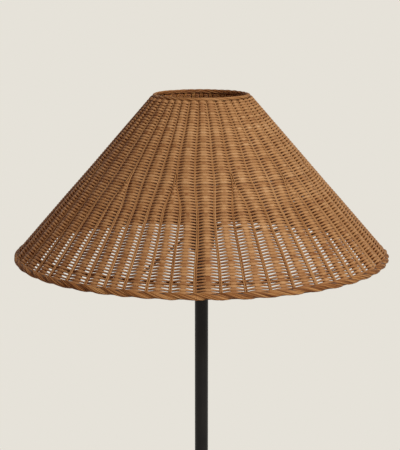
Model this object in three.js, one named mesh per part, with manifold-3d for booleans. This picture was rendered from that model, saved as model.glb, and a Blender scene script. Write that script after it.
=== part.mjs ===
// A floor lamp with a woven rattan shade on a slim black pole and a weighted round base.
// Lengths are in millimetres, +Z is up, and the origin is on the floor under the middle of the base.
// The shade faces the room with -Y; the lead comes out of the base at the back, +Y.

import * as THREE from "three";
import { mergeVertices } from "three/addons/utils/BufferGeometryUtils.js";
import Module from "manifold-3d";

const wasm = await Module();
wasm.setup();

// Clearances shared by the whole lamp
const SEAT_GAP = 0.3; // between two pieces that rest on or fit in each other
const OVERRUN = 2; // how far a cutter runs past the faces that it cuts

// Base: spun steel cover over a cast weight, with a foam pad below
const BASE_RADIUS = 150;
const BASE_HEIGHT = 20;
const COVER_SHEET = 1.5;
const COVER_EDGE_RADIUS = 6;
const COVER_LIFT = 1.5; // the cover's rim stays this far off the floor
const PAD_INSET = 10; // from the cover's edge
const PAD_HOLE_RADIUS = 32;
const PAD_THICKNESS = 3;
const WEIGHT_SIDE_GAP = 2.5;
const NUT_POCKET_RADIUS = 20;
const NUT_TAIL = 1; // the pocket stays this much deeper than the nut and washer

// Threaded tube, nut and washer, the same M10 size at the base, the pole's joints and the lampholder
const NIPPLE_RADIUS = 5;
const NIPPLE_BORE_RADIUS = 3.6;
const NUT_ACROSS_FLATS = 17;
const NUT_HEIGHT = 6;
const WASHER_RADIUS = 11;
const WASHER_THICKNESS = 1.6;

// Bush where the lead enters the base
const BUSH_FLANGE_RADIUS = 6;
const BUSH_FLANGE_THICKNESS = 1.5;
const BUSH_BARREL_RADIUS = 4.5;
const BUSH_BORE_RADIUS = 3.2;
const BUSH_LENGTH = 8;
const CHANNEL_CLEARANCE = 1.5; // round the bush's barrel, in the weight

// Pole: three steel tubes with turned inserts in their ends
const POLE_RADIUS = 11;
const POLE_WALL = 1.5;
const POLE_SECTION_LENGTH = 440;
const POLE_SECTION_COUNT = 3;
const INSERT_LENGTH = 15;
const NIPPLE_HOLD = 12; // length of nipple inside each insert

// Lampholder with a threaded skirt
const HOLDER_CAP_HEIGHT = 27;
const HOLDER_RADIUS = 21;
const HOLDER_NECK_RADIUS = 13.5;
const HOLDER_NECK_HEIGHT = 10;
const HOLDER_WALL = 2.5;
const HOLDER_FLOOR = 6;
const SKIRT_SHOULDER = 6;
const SKIRT_HEIGHT = 38.7;
const SKIRT_THREAD_RADIUS = 19.6;
const SKIRT_WALL = 3;
const SKIRT_LIP_HEIGHT = 3;
const SKIRT_LIP_RADIUS = 14.6;
const CORE_DROP = 7; // how far the ceramic core reaches down into the cap
const CORE_FLOOR = 10;
const CORE_HEIGHT = 36;
const CORE_WALL = 2;
const SOCKET_SHELL_WALL = 0.5;
const SOCKET_SHELL_HEIGHT = 23;
const CONTACT_RADIUS = 3;
const CONTACT_HEIGHT = 3;
const TERMINAL_RADIUS = 2;
const TERMINAL_LENGTH = 5;
const TERMINAL_HEAD_RADIUS = 3;
const TERMINAL_HEAD_HEIGHT = 2;
const TERMINAL_SPACING = 16;

// Shade rings that clamp the spider on the skirt's thread
const RING_FLANGE_RADIUS = 28.5;
const RING_FLANGE_THICKNESS = 2.5;
const RING_COLLAR_WALL = 2.5;
const RING_HEIGHT = 7;
const RING_GRIPS = 16;
const RING_GRIP_DEPTH = 1.2;

// Bulb with a 27 mm screw cap
const BULB_CAP_RADIUS = 13;
const BULB_CAP_WALL = 0.5;
const BULB_CAP_HEIGHT = 18;
const BULB_CONTACT_RADIUS = 4.5;
const BULB_CONTACT_HEIGHT = 1.8;
const BULB_INSULATOR_HEIGHT = 4;
const BULB_INSULATOR_TOP_RADIUS = 11;
const BULB_NECK_RADIUS = 13.2;
const BULB_COLLAR_RADIUS = 19;
const BULB_COLLAR_NECK_HEIGHT = 9;
const BULB_COLLAR_FLARE_HEIGHT = 9;
const BULB_COLLAR_WALL = 1.2;
const GLOBE_RADIUS = 33;
const GLOBE_WALL = 1;
const GLOBE_RISE = 78; // from the collar to the middle of the round part
const BOARD_THICKNESS = 1.5;

// Shade: outline of the woven cone
const SHADE_RADIUS = 300;
const SHADE_HEIGHT = 263;
const SHADE_TOP_RADIUS = 77.5;
const SHADE_DROP = 7; // the shade's lower edge is this far below the lampholder
const LOWER_BORDER_HEIGHT = 11.5;
const LOWER_BORDER_WIDTH = 11;
const UPPER_BORDER_HEIGHT = 6.5;
const UPPER_BORDER_WIDTH = 7;

// Shade: the weave, with weavers in front of every second group of stakes and behind the others
const BULGE = 3.6; // weavers stand this far off the middle of the wall where they pass a stake
const STAKE_HALF = 1.3; // half the thickness of a stake
const SECTORS = 12; // a pair of stakes parts at the end of each, with a new stake between
const FIRST_SECTOR_DEGREES = 15; // from the front
const SPLIT_SHARE = 0.58; // share of the wall's height where the pairs part
const SPREAD_SHARE = 0.36; // share of the height below which all stakes stand evenly
const LOWER_STAKE_SHARES = [1 / 8, 2 / 8, 3 / 8, 4 / 8, 5 / 8, 6 / 8, 7 / 8, 1];
const UPPER_STAKE_SHARES = [0.03, 1 / 6, 2 / 6, 3 / 6, 4 / 6, 5 / 6, 0.97, 1];
const SLOT_SHARES = [0.09, 0.17, 0.28, SPREAD_SHARE, 0.5, SPLIT_SHARE, 0.74, 0.81]; // low, high
const SLOT_STAKES = 2; // a slot reaches from one stake to the next but one, and so does a bar

// Shade: steel wires that carry the weave
const RING_WIRE_RADIUS = 2.2;
const WIRE_RING_SHARE = 0.03; // share of the wall's height at which the wire ring lies
const ARM_RADIUS = 2;
const ARM_COUNT = 3;
const ARM_FIRST_DEGREES = -111; // from +X, so 21 degrees left of the front
const SPIDER_REACH = 2; // the spider ring shows this far past the shade rings
const SPIDER_THICKNESS = 2;

// Facets
const ROUND_SIDES = 18;
const SMALL_SIDES = 12;
const BASE_SIDES = 40;
const WIRE_SIDES = 6;
const BORDER_SIDES = 8;
const LOWER_BORDER_STEPS = 3; // in each lobe
const UPPER_BORDER_STEPS = 2;
const SHOULDER_STEPS = 3;
const GLOBE_RISE_STEPS = 3;
const GLOBE_TOP_STEPS = 5;

const paint = (color, roughness, metalness) =>
  new THREE.MeshStandardMaterial({ color, roughness, metalness });
const BLACK_PAINT = paint(0x1b1a1b, 0.45, 0.5);
const BLACK_PLASTIC = paint(0x161514, 0.5, 0);
const CAST_IRON = paint(0x3a3836, 0.85, 0.6);
const FOAM = paint(0x2a2928, 0.95, 0);
const ZINC = paint(0xa9abad, 0.35, 1);
const BRASS = paint(0xb08a44, 0.35, 1);
const CERAMIC = paint(0xe4dfd3, 0.4, 0);
const WHITE_PLASTIC = paint(0xeceae4, 0.45, 0);
const OPAL_GLASS = paint(0xf4f1ea, 0.25, 0);
const RATTAN = paint(0xa9793f, 0.6, 0);
const RATTAN_DARK = paint(0x8a5a30, 0.6, 0);
const BROWN_WIRE = paint(0x4a3424, 0.5, 0.4);

// How far the flats of a faceted ring lie from its axis.
const flatRadius = (radius, sides) => radius * Math.cos(Math.PI / sides);

// Turns a closed profile of [radius, height] points about the Z axis.
function turned(profile, sides = ROUND_SIDES) {
  const points = profile.map(([r, z]) => new THREE.Vector2(r, z));
  const onAxis = profile[0][0] === 0 && profile.at(-1)[0] === 0;
  if (!onAxis) points.push(points[0].clone());
  return new THREE.LatheGeometry(points, sides).rotateX(Math.PI / 2);
}

// A tube with flat ends: outer radius, bore radius, lowest and highest height.
function pipe(outer, bore, low, high, sides = ROUND_SIDES) {
  const profile = [
    [bore, low],
    [outer, low],
    [outer, high],
    [bore, high],
  ];
  return turned(profile, sides);
}

// A solid round bar from one height to another.
function bar(radius, low, high, sides = ROUND_SIDES) {
  const profile = [
    [0, low],
    [radius, low],
    [radius, high],
    [0, high],
  ];
  return turned(profile, sides);
}

// A closed geometry as a solid that can be joined and cut.
function solidOf(geometry) {
  const bare = new THREE.BufferGeometry();
  bare.setAttribute("position", geometry.getAttribute("position").clone());
  if (geometry.index) bare.setIndex(geometry.index.clone());
  const merged = mergeVertices(bare, SEAT_GAP / 1000);
  const mesh = new wasm.Mesh({
    numProp: 3,
    vertProperties: new Float32Array(merged.attributes.position.array),
    triVerts: new Uint32Array(merged.index.array),
  });
  return new wasm.Manifold(mesh);
}

// A cut or joined solid as a geometry again.
function geometryOf(solid) {
  const mesh = solid.getMesh();
  const geometry = new THREE.BufferGeometry();
  geometry.setAttribute("position", new THREE.BufferAttribute(mesh.vertProperties, 3));
  geometry.setIndex(new THREE.BufferAttribute(mesh.triVerts, 1));
  geometry.computeVertexNormals();
  return geometry;
}

const lamp = new THREE.Group();

function add(name, geometry, material, height = 0) {
  const mesh = new THREE.Mesh(geometry, material);
  mesh.name = name;
  mesh.position.z = height;
  lamp.add(mesh);
  return mesh;
}

// Foam pad: a flat ring glued under the weight, open in the middle for the nut.
function makePad() {
  const radius = BASE_RADIUS - PAD_INSET;
  add("base_pad", pipe(radius, PAD_HOLE_RADIUS, 0, PAD_THICKNESS, BASE_SIDES), FOAM);
}

// Heights of the stack inside the base, from the floor up.
const WEIGHT_LOW = PAD_THICKNESS + SEAT_GAP;
const WEIGHT_HIGH = BASE_HEIGHT - COVER_SHEET - SEAT_GAP;
const POCKET_DEPTH = NUT_HEIGHT + WASHER_THICKNESS + 2 * SEAT_GAP + NUT_TAIL;
const POCKET_TOP = WEIGHT_LOW + POCKET_DEPTH;
const WASHER_LOW = POCKET_TOP - SEAT_GAP - WASHER_THICKNESS;
const NUT_LOW = WASHER_LOW - SEAT_GAP - NUT_HEIGHT;
const BUSH_HEIGHT = COVER_LIFT + BUSH_FLANGE_RADIUS;
const THREAD_HOLE_RADIUS = NIPPLE_RADIUS + SEAT_GAP;

// Cast weight: a disc with a bore, a pocket below for the nut and a channel for the lead.
function makeWeight() {
  const radius = BASE_RADIUS - COVER_SHEET - WEIGHT_SIDE_GAP;
  const disc = solidOf(
    turned(
      [
        [THREAD_HOLE_RADIUS, POCKET_TOP],
        [NUT_POCKET_RADIUS, POCKET_TOP],
        [NUT_POCKET_RADIUS, WEIGHT_LOW],
        [radius, WEIGHT_LOW],
        [radius, WEIGHT_HIGH - COVER_EDGE_RADIUS],
        [radius - COVER_EDGE_RADIUS, WEIGHT_HIGH],
        [THREAD_HOLE_RADIUS, WEIGHT_HIGH],
      ],
      BASE_SIDES,
    ),
  );
  const half = BUSH_BARREL_RADIUS + CHANNEL_CLEARANCE;
  const top = BUSH_HEIGHT + half;
  const bottom = WEIGHT_LOW - OVERRUN;
  const run = radius + OVERRUN;
  const channel = new THREE.BoxGeometry(2 * half, run, top - bottom);
  channel.translate(0, run / 2, (top + bottom) / 2);
  add("base_weight", geometryOf(disc.subtract(solidOf(channel))), CAST_IRON);
}

// Spun cover: a shallow pan with a rolled shoulder, turned upside down over the weight.
function makeCover() {
  const shoulder = (radius, edge, high) =>
    Array.from({ length: SHOULDER_STEPS + 1 }, (_, i) => {
      const angle = ((Math.PI / 2) * i) / SHOULDER_STEPS;
      return [
        radius - edge + edge * Math.cos(angle),
        high - edge + edge * Math.sin(angle),
      ];
    });
  const outer = shoulder(BASE_RADIUS, COVER_EDGE_RADIUS, BASE_HEIGHT);
  const inner = shoulder(
    BASE_RADIUS - COVER_SHEET,
    COVER_EDGE_RADIUS - COVER_SHEET,
    BASE_HEIGHT - COVER_SHEET,
  );
  const pan = solidOf(
    turned(
      [
        [BASE_RADIUS - COVER_SHEET, COVER_LIFT],
        [BASE_RADIUS, COVER_LIFT],
        ...outer,
        [THREAD_HOLE_RADIUS, BASE_HEIGHT],
        [THREAD_HOLE_RADIUS, BASE_HEIGHT - COVER_SHEET],
        ...inner.reverse(),
      ],
      BASE_SIDES,
    ),
  );
  const hole = bar(BUSH_BARREL_RADIUS + SEAT_GAP, 0, COVER_SHEET + 2 * OVERRUN, SMALL_SIDES)
    .rotateX(-Math.PI / 2)
    .translate(0, BASE_RADIUS - COVER_SHEET - OVERRUN, BUSH_HEIGHT);
  add("base_cover", geometryOf(pan.subtract(solidOf(hole))), BLACK_PAINT);
}

// Bush: a flanged sleeve that guards the lead where it passes the cover.
function makeBush() {
  const inside = -(BUSH_LENGTH - BUSH_FLANGE_THICKNESS);
  const sleeve = turned(
    [
      [BUSH_BORE_RADIUS, inside],
      [BUSH_BARREL_RADIUS, inside],
      [BUSH_BARREL_RADIUS, SEAT_GAP],
      [BUSH_FLANGE_RADIUS, SEAT_GAP],
      [BUSH_FLANGE_RADIUS, SEAT_GAP + BUSH_FLANGE_THICKNESS],
      [BUSH_BORE_RADIUS, SEAT_GAP + BUSH_FLANGE_THICKNESS],
    ],
    SMALL_SIDES,
  );
  sleeve.rotateX(-Math.PI / 2).translate(0, BASE_RADIUS, BUSH_HEIGHT);
  add("lead_bush", sleeve, BLACK_PLASTIC);
}

// Nipple: a length of hollow threaded rod. Its thread is left plain.
function makeNipple(name, low, high) {
  add(name, pipe(NIPPLE_RADIUS, NIPPLE_BORE_RADIUS, low, high, SMALL_SIDES), ZINC);
}

function makeBaseFixing() {
  add(
    "base_washer",
    pipe(
      WASHER_RADIUS,
      THREAD_HOLE_RADIUS,
      WASHER_LOW,
      WASHER_LOW + WASHER_THICKNESS,
      SMALL_SIDES,
    ),
    ZINC,
  );
  const corner = NUT_ACROSS_FLATS / Math.sqrt(3);
  const hexagon = new THREE.Shape();
  for (let i = 0; i < 6; i++) {
    const angle = (i * Math.PI) / 3;
    const point = [corner * Math.cos(angle), corner * Math.sin(angle)];
    if (i === 0) hexagon.moveTo(...point);
    else hexagon.lineTo(...point);
  }
  hexagon.closePath();
  hexagon.holes.push(new THREE.Path().absarc(0, 0, THREAD_HOLE_RADIUS, 0, 2 * Math.PI));
  const nut = new THREE.ExtrudeGeometry(hexagon, {
    depth: NUT_HEIGHT,
    bevelEnabled: false,
    curveSegments: SMALL_SIDES / 2,
  });
  add("base_nut", nut, ZINC, NUT_LOW);
  makeNipple("base_nipple", NUT_LOW - NUT_TAIL / 2, BASE_HEIGHT + SEAT_GAP + NIPPLE_HOLD);
}

// Pole: each tube has an insert flush with either end, and a nipple joins one tube to the next.
const POLE_LOW = BASE_HEIGHT + SEAT_GAP;
const POLE_STEP = POLE_SECTION_LENGTH + SEAT_GAP;
const POLE_HIGH = POLE_LOW + POLE_SECTION_COUNT * POLE_STEP - SEAT_GAP;

function makePole() {
  const names = ["lower", "middle", "upper"];
  const bore = POLE_RADIUS - POLE_WALL;
  for (let i = 0; i < POLE_SECTION_COUNT; i++) {
    const name = names[i] ?? `extra_${i}`;
    const low = POLE_LOW + i * POLE_STEP;
    const high = low + POLE_SECTION_LENGTH;
    const insert = pipe(bore - SEAT_GAP, THREAD_HOLE_RADIUS, 0, INSERT_LENGTH);
    add(`pole_${name}_tube`, pipe(POLE_RADIUS, bore, low, high), BLACK_PAINT);
    add(`pole_${name}_foot_insert`, insert, ZINC, low);
    add(`pole_${name}_head_insert`, insert.clone(), ZINC, high - INSERT_LENGTH);
    if (i > 0) {
      const joint = low - SEAT_GAP / 2;
      makeNipple(`pole_${name}_joint_nipple`, joint - NIPPLE_HOLD, joint + NIPPLE_HOLD);
    }
  }
}

// Lampholder heights, from the bottom of its cap.
const HOLDER_LOW = POLE_HIGH + SEAT_GAP;
const SKIRT_LOW = HOLDER_CAP_HEIGHT + SEAT_GAP;
const SKIRT_HIGH = SKIRT_LOW + SKIRT_HEIGHT;
const SKIRT_BORE_RADIUS = SKIRT_THREAD_RADIUS - SKIRT_WALL;
const SHOULDER_HIGH = SKIRT_LOW + SKIRT_SHOULDER;
const CORE_RADIUS = SKIRT_BORE_RADIUS - SEAT_GAP;
const CORE_LOW = HOLDER_CAP_HEIGHT - CORE_DROP;
const SOCKET_FLOOR = CORE_LOW + CORE_FLOOR;
const SOCKET_SHELL_RADIUS = CORE_RADIUS - CORE_WALL - SEAT_GAP;

// Cap: a cup that screws on the pole's nipple and covers the terminals.
function makeHolderCap() {
  const cap = turned([
    [THREAD_HOLE_RADIUS, 0],
    [HOLDER_NECK_RADIUS, 0],
    [HOLDER_RADIUS, HOLDER_NECK_HEIGHT],
    [HOLDER_RADIUS, HOLDER_CAP_HEIGHT],
    [HOLDER_RADIUS - HOLDER_WALL, HOLDER_CAP_HEIGHT],
    [HOLDER_RADIUS - HOLDER_WALL, HOLDER_NECK_HEIGHT],
    [HOLDER_NECK_RADIUS - HOLDER_WALL, HOLDER_FLOOR],
    [THREAD_HOLE_RADIUS, HOLDER_FLOOR],
  ]);
  add("lampholder_cap", cap, BLACK_PLASTIC, HOLDER_LOW);
  makeNipple(
    "lampholder_nipple",
    POLE_HIGH - NIPPLE_HOLD,
    HOLDER_LOW + HOLDER_FLOOR + SEAT_GAP,
  );
}

// Skirt: a threaded tube with a shoulder below and an inward lip at its mouth.
function makeHolderSkirt() {
  const skirt = turned([
    [SKIRT_BORE_RADIUS, SKIRT_LOW],
    [HOLDER_RADIUS, SKIRT_LOW],
    [HOLDER_RADIUS, SHOULDER_HIGH],
    [SKIRT_THREAD_RADIUS, SHOULDER_HIGH],
    [SKIRT_THREAD_RADIUS, SKIRT_HIGH],
    [SKIRT_LIP_RADIUS, SKIRT_HIGH],
    [SKIRT_LIP_RADIUS, SKIRT_HIGH - SKIRT_LIP_HEIGHT],
    [SKIRT_BORE_RADIUS, SKIRT_HIGH - SKIRT_LIP_HEIGHT],
  ]);
  add("lampholder_skirt", skirt, BLACK_PLASTIC, HOLDER_LOW);
}

// Core: a ceramic cup that holds the screw shell and the contacts.
function makeHolderCore() {
  const bore = CORE_RADIUS - CORE_WALL;
  const core = turned([
    [0, CORE_LOW],
    [CORE_RADIUS, CORE_LOW],
    [CORE_RADIUS, CORE_LOW + CORE_HEIGHT],
    [bore, CORE_LOW + CORE_HEIGHT],
    [bore, SOCKET_FLOOR],
    [0, SOCKET_FLOOR],
  ]);
  add("lampholder_core", core, CERAMIC, HOLDER_LOW);

  const shellLow = SOCKET_FLOOR + SEAT_GAP;
  const shell = pipe(
    SOCKET_SHELL_RADIUS,
    SOCKET_SHELL_RADIUS - SOCKET_SHELL_WALL,
    shellLow,
    shellLow + SOCKET_SHELL_HEIGHT,
  );
  add("lampholder_screw_shell", shell, BRASS, HOLDER_LOW);

  const contact = bar(CONTACT_RADIUS, shellLow, shellLow + CONTACT_HEIGHT, SMALL_SIDES);
  add("lampholder_centre_contact", contact, BRASS, HOLDER_LOW);

  const headHigh = CORE_LOW - SEAT_GAP - TERMINAL_LENGTH + TERMINAL_HEAD_HEIGHT;
  for (const side of [-1, 1]) {
    const screw = turned(
      [
        [0, CORE_LOW - SEAT_GAP - TERMINAL_LENGTH],
        [TERMINAL_HEAD_RADIUS, CORE_LOW - SEAT_GAP - TERMINAL_LENGTH],
        [TERMINAL_HEAD_RADIUS, headHigh],
        [TERMINAL_RADIUS, headHigh],
        [TERMINAL_RADIUS, CORE_LOW - SEAT_GAP],
        [0, CORE_LOW - SEAT_GAP],
      ],
      SMALL_SIDES / 2,
    );
    screw.translate((side * TERMINAL_SPACING) / 2, 0, 0);
    add(side < 0 ? "terminal_screw_left" : "terminal_screw_right", screw, BRASS, HOLDER_LOW);
  }
}

// Heights of the clamped stack on the skirt's thread.
const LOWER_RING_LOW = HOLDER_LOW + SHOULDER_HIGH + SEAT_GAP;
const SPIDER_LOW = LOWER_RING_LOW + RING_HEIGHT + SEAT_GAP;
const UPPER_RING_LOW = SPIDER_LOW + SPIDER_THICKNESS + SEAT_GAP;
const RING_BORE_RADIUS = SKIRT_THREAD_RADIUS + SEAT_GAP;

// Shade ring: a threaded collar with a flange whose edge has finger grips.
function shadeRing() {
  const outline = new THREE.Shape();
  const corners = 2 * RING_GRIPS;
  for (let i = 0; i < corners; i++) {
    const angle = (i * 2 * Math.PI) / corners;
    const radius = RING_FLANGE_RADIUS - (i % 2) * RING_GRIP_DEPTH;
    const point = [radius * Math.cos(angle), radius * Math.sin(angle)];
    if (i === 0) outline.moveTo(...point);
    else outline.lineTo(...point);
  }
  outline.closePath();
  const flange = new THREE.ExtrudeGeometry(outline, {
    depth: RING_FLANGE_THICKNESS,
    bevelEnabled: false,
  });
  const collar = bar(RING_BORE_RADIUS + RING_COLLAR_WALL, 0, RING_HEIGHT);
  const bore = bar(RING_BORE_RADIUS, -OVERRUN, RING_HEIGHT + OVERRUN);
  return geometryOf(solidOf(flange).add(solidOf(collar)).subtract(solidOf(bore)));
}

function makeShadeRings() {
  const lower = shadeRing().rotateX(Math.PI);
  add("lower_shade_ring", lower, BLACK_PLASTIC, LOWER_RING_LOW + RING_HEIGHT);
  add("upper_shade_ring", shadeRing(), BLACK_PLASTIC, UPPER_RING_LOW);
}

// Bulb: contact, insulator, screw cap, collar, board and globe, stacked from the socket up.
function makeBulb() {
  const contactLow = HOLDER_LOW + SOCKET_FLOOR + 2 * SEAT_GAP + CONTACT_HEIGHT;
  const insulatorLow = contactLow + BULB_CONTACT_HEIGHT + SEAT_GAP;
  const capLow = insulatorLow + BULB_INSULATOR_HEIGHT + SEAT_GAP;
  const collarLow = capLow + BULB_CAP_HEIGHT + SEAT_GAP;
  const flareLow = BULB_COLLAR_NECK_HEIGHT;
  const flareHigh = BULB_COLLAR_NECK_HEIGHT + BULB_COLLAR_FLARE_HEIGHT;

  const contact = bar(BULB_CONTACT_RADIUS, 0, BULB_CONTACT_HEIGHT, SMALL_SIDES);
  add("bulb_contact", contact, BRASS, contactLow);

  const insulator = turned([
    [0, 0],
    [BULB_CONTACT_RADIUS, 0],
    [BULB_INSULATOR_TOP_RADIUS, BULB_INSULATOR_HEIGHT],
    [0, BULB_INSULATOR_HEIGHT],
  ]);
  add("bulb_insulator", insulator, BLACK_PLASTIC, insulatorLow);

  const capBore = BULB_CAP_RADIUS - BULB_CAP_WALL;
  const cap = turned([
    [BULB_INSULATOR_TOP_RADIUS - BULB_CAP_WALL, 0],
    [BULB_INSULATOR_TOP_RADIUS, 0],
    [BULB_CAP_RADIUS, BULB_CAP_RADIUS - BULB_INSULATOR_TOP_RADIUS],
    [BULB_CAP_RADIUS, BULB_CAP_HEIGHT],
    [capBore, BULB_CAP_HEIGHT],
    [capBore, BULB_CAP_RADIUS - BULB_INSULATOR_TOP_RADIUS],
    [BULB_INSULATOR_TOP_RADIUS - BULB_CAP_WALL, BULB_CAP_WALL],
  ]);
  add("bulb_screw_cap", cap, ZINC, capLow);

  const collar = turned([
    [BULB_NECK_RADIUS - BULB_COLLAR_WALL, 0],
    [BULB_NECK_RADIUS, 0],
    [BULB_NECK_RADIUS, flareLow],
    [BULB_COLLAR_RADIUS, flareHigh],
    [BULB_COLLAR_RADIUS - BULB_COLLAR_WALL, flareHigh],
    [BULB_NECK_RADIUS - BULB_COLLAR_WALL, flareLow],
  ]);
  add("bulb_collar", collar, WHITE_PLASTIC, collarLow);

  const flare = (BULB_COLLAR_RADIUS - BULB_NECK_RADIUS) / BULB_COLLAR_FLARE_HEIGHT;
  const boardEdge = BULB_COLLAR_RADIUS - BULB_COLLAR_WALL - flare * BOARD_THICKNESS;
  const board = bar(boardEdge - SEAT_GAP, flareHigh - BOARD_THICKNESS, flareHigh);
  add("bulb_led_board", board, ZINC, collarLow);
  makeGlobe(collarLow + flareHigh + SEAT_GAP);
}

// Globe: a thin dome that swells from the collar to a round top, open below.
function makeGlobe(low) {
  const outline = (radius, neck) => {
    const points = [];
    for (let i = 0; i < GLOBE_RISE_STEPS; i++) {
      const share = i / GLOBE_RISE_STEPS;
      const swell = Math.sin((share * Math.PI) / 2);
      points.push([neck + (radius - neck) * swell, GLOBE_RISE * share]);
    }
    for (let i = 0; i < GLOBE_TOP_STEPS; i++) {
      const angle = (i * Math.PI) / 2 / GLOBE_TOP_STEPS;
      points.push([radius * Math.cos(angle), GLOBE_RISE + radius * Math.sin(angle)]);
    }
    return [...points, [0, GLOBE_RISE + radius]];
  };
  const outer = outline(GLOBE_RADIUS, BULB_COLLAR_RADIUS);
  const inner = outline(GLOBE_RADIUS - GLOBE_WALL, BULB_COLLAR_RADIUS - GLOBE_WALL);
  add("bulb_globe", turned([...inner.reverse(), ...outer]), OPAL_GLASS, low);
}

// Wall of the shade, by height above the shade's lower edge.
const SHADE_LOW = HOLDER_LOW - SHADE_DROP;
const WALL_LOW =
  LOWER_BORDER_HEIGHT / 2 + flatRadius(LOWER_BORDER_HEIGHT / 2, BORDER_SIDES) + SEAT_GAP;
const WALL_HIGH = SHADE_HEIGHT - UPPER_BORDER_HEIGHT - SEAT_GAP;
const LOWER_MIDDLE = [SHADE_RADIUS - LOWER_BORDER_WIDTH / 2, LOWER_BORDER_HEIGHT / 2];
const UPPER_MIDDLE = [
  SHADE_TOP_RADIUS - UPPER_BORDER_WIDTH / 2,
  SHADE_HEIGHT - UPPER_BORDER_HEIGHT / 2,
];
const WALL_SLOPE =
  (LOWER_MIDDLE[0] - UPPER_MIDDLE[0]) / (UPPER_MIDDLE[1] - LOWER_MIDDLE[1]);
const WALL_STRETCH = Math.hypot(1, WALL_SLOPE); // level thickness over true thickness

// The middle of the wall runs from the middle of one border to the middle of the other.
const wallRadius = (height) =>
  UPPER_MIDDLE[0] + WALL_SLOPE * (UPPER_MIDDLE[1] - height);

const wallHeight = (share) => WALL_LOW + share * (WALL_HIGH - WALL_LOW);

// How far the stakes have parted at a share of the height: 0 above the split, 1 below the spread.
function parted(share) {
  const t = (SPLIT_SHARE - share) / (SPLIT_SHARE - SPREAD_SHARE);
  return THREE.MathUtils.smoothstep(t, 0, 1);
}

// Angle and face offsets of each stake of the wall at one height.
function wallColumns(share) {
  const open = parted(share);
  const stakes = LOWER_STAKE_SHARES.map((low, i) =>
    THREE.MathUtils.lerp(UPPER_STAKE_SHARES[i], low, open),
  );
  const columns = [];
  for (let sector = 0; sector < SECTORS; sector++) {
    stakes.forEach((place, i) => {
      const hidden = i % 2 === 1;
      const added = i === stakes.length - 1;
      const front = hidden ? (added ? open : 1) : 0;
      columns.push({
        turn: sector + place,
        out: THREE.MathUtils.lerp(STAKE_HALF, BULGE, front),
        in: THREE.MathUtils.lerp(BULGE, STAKE_HALF, front),
      });
    });
  }
  return columns;
}

const FIRST_SECTOR = THREE.MathUtils.degToRad(FIRST_SECTOR_DEGREES - 90);

// Points of one face of the wall: a ring for each row.
function wallFace(rows, side, sign) {
  return rows.map((share) => {
    const height = wallHeight(share);
    return wallColumns(share).map((column) => {
      const radius = wallRadius(height) + sign * column[side] * WALL_STRETCH;
      const angle = FIRST_SECTOR + (column.turn / SECTORS) * 2 * Math.PI;
      return [radius * Math.cos(angle), radius * Math.sin(angle), height];
    });
  });
}

// Woven wall: a wavy sheet that lets light through a grid of slots. The slots stand in place of
// the many small gaps between the weavers, and every second row of them is moved on by a stake.
function makeWeave() {
  const rows = [0, ...SLOT_SHARES, 1];
  const isSlot = (row, i) => {
    const moved = ((row - 1) / 2) % 2;
    const place = THREE.MathUtils.euclideanModulo(i - moved, 2 * SLOT_STAKES);
    return row % 2 === 1 && place < SLOT_STAKES;
  };
  const wall = slottedSheet(wallFace(rows, "out", 1), wallFace(rows, "in", -1), isSlot);
  add("shade_weave", wall, RATTAN, SHADE_LOW);
}

// A closed sheet between an outer and an inner grid of points round the axis. It has edges below,
// above and round each slot.
function slottedSheet(outer, inner, isSlot) {
  const rows = outer.length;
  const across = outer[0].length;
  const out = (row, i) => row * across + (i % across);
  const back = (row, i) => out(rows + row, i);
  const open = (row, i) => row < 0 || row === rows - 1 || isSlot(row, (i + across) % across);
  const index = [];
  const quad = (a, b, c, d) => index.push(a, b, c, a, c, d);
  for (let row = 0; row < rows - 1; row++) {
    for (let i = 0; i < across; i++) {
      if (open(row, i)) continue;
      const [a, b, c, d] = [out(row, i), out(row, i + 1), out(row + 1, i + 1), out(row + 1, i)];
      const [e, f, g, h] = [back(row, i), back(row, i + 1), back(row + 1, i + 1), back(row + 1, i)];
      quad(a, b, c, d);
      quad(f, e, h, g);
      if (open(row - 1, i)) quad(e, f, b, a);
      if (open(row + 1, i)) quad(d, c, g, h);
      if (open(row, i - 1)) quad(a, d, h, e);
      if (open(row, i + 1)) quad(b, f, g, c);
    }
  }
  return geometryFrom([...outer, ...inner].flat(2), index);
}

// A geometry from rings of points that follow one another and close on the first ring.
function loopedGrid(rings) {
  const across = rings[0].length;
  const positions = rings.flat(2);
  const index = [];
  rings.forEach((_, row) => {
    const next = (row + 1) % rings.length;
    for (let i = 0; i < across; i++) {
      const j = (i + 1) % across;
      const a = row * across + i;
      const b = row * across + j;
      const c = next * across + j;
      const d = next * across + i;
      index.push(a, b, c, a, c, d);
    }
  });
  return geometryFrom(positions, index);
}

function geometryFrom(positions, index) {
  const geometry = new THREE.BufferGeometry();
  geometry.setAttribute("position", new THREE.Float32BufferAttribute(positions, 3));
  geometry.setIndex(index);
  geometry.computeVertexNormals();
  return geometry;
}

// A ring of round section about the Z axis whose section may change with the angle.
function hoop(steps, sides, sectionAt) {
  const rings = [];
  for (let s = 0; s < sides; s++) {
    const around = (s * 2 * Math.PI) / sides;
    const ring = [];
    for (let i = 0; i < steps; i++) {
      const angle = FIRST_SECTOR + (i * 2 * Math.PI) / steps;
      const [radius, height] = sectionAt(angle, around);
      ring.push([radius * Math.cos(angle), radius * Math.sin(angle), height]);
    }
    rings.push(ring);
  }
  return loopedGrid(rings);
}

// Borders: the ends of the stakes, laid down and plaited, one lobe for each visible stake.
const LOWER_LOBES = SECTORS * 4;
const UPPER_LOBES = SECTORS * 3;
const LOBE_SHARE = 0.16; // share of the border's width by which each lobe swells
const LOBE_SEAT = (3 * Math.PI) / 4; // where on its section a lobe meets the wall

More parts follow.
